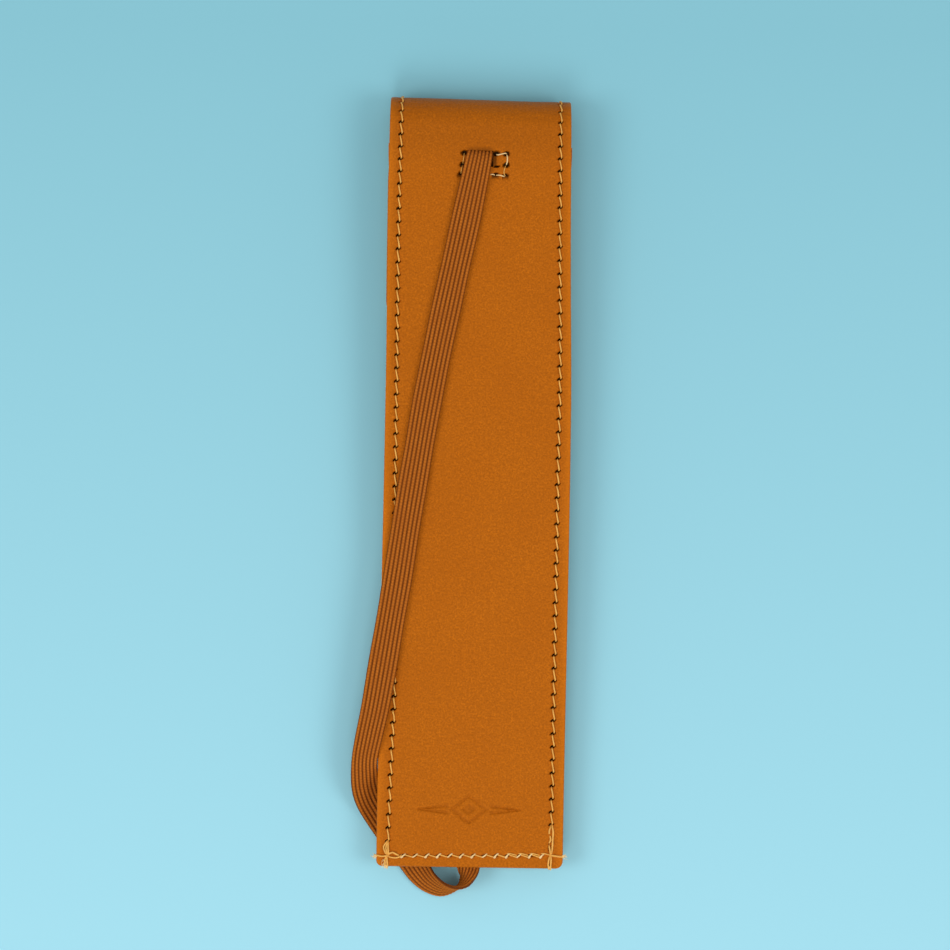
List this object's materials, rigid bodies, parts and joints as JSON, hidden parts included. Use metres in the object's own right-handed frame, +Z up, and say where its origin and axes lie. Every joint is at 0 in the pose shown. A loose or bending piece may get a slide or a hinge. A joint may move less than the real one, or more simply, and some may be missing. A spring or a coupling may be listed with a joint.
{
  "type": "leather pen sleeve with elastic band",
  "caption": "Slim flat leather pen sleeve with a lined fold-over flap, edge stitching, a moulded pocket and a flat elastic band that ties it to a notebook.",
  "frame": {"origin": "under the middle of the leather case, on the table it lies on", "axes": "+Z up through the back face, +Y along the sleeve towards the fold of the flap, +X across it"},
  "size_m": [0.046, 0.1735, 0.013],
  "materials": {
    "leather": "satin",
    "lining": "matte",
    "thread": "satin",
    "elastic": "matte"
  },
  "bodies": {
    "sleeve": {"back_panel": "leather", "back_lining": "lining", "pocket_panel": "leather", "left_seam_thread": "thread", "right_seam_thread": "thread", "bottom_seam_thread": "thread", "band_anchor_thread": "thread", "elastic_band": "elastic"},
    "spine": {"spine_leather": "leather", "spine_lining": "lining", "spine_thread": "thread"},
    "flap": {"flap_leather": "leather", "flap_lining": "lining", "flap_thread": "thread"}
  },
  "joints": [
    {"name": "spine_fold", "type": "hinge", "parent": "sleeve", "child": "spine", "pos_m": [0, 0.08128, 0.01028], "axis": [1, 0, 0], "range_deg": [0, 90]},
    {"name": "flap_fold", "type": "hinge", "parent": "spine", "child": "flap", "pos_m": [0, 0.08128, 0.00172], "axis": [1, 0, 0], "range_deg": [0, 90]}
  ],
  "couplings": [
    {"joint": "flap_fold", "follows": "spine_fold", "ratio": 1}
  ]
}
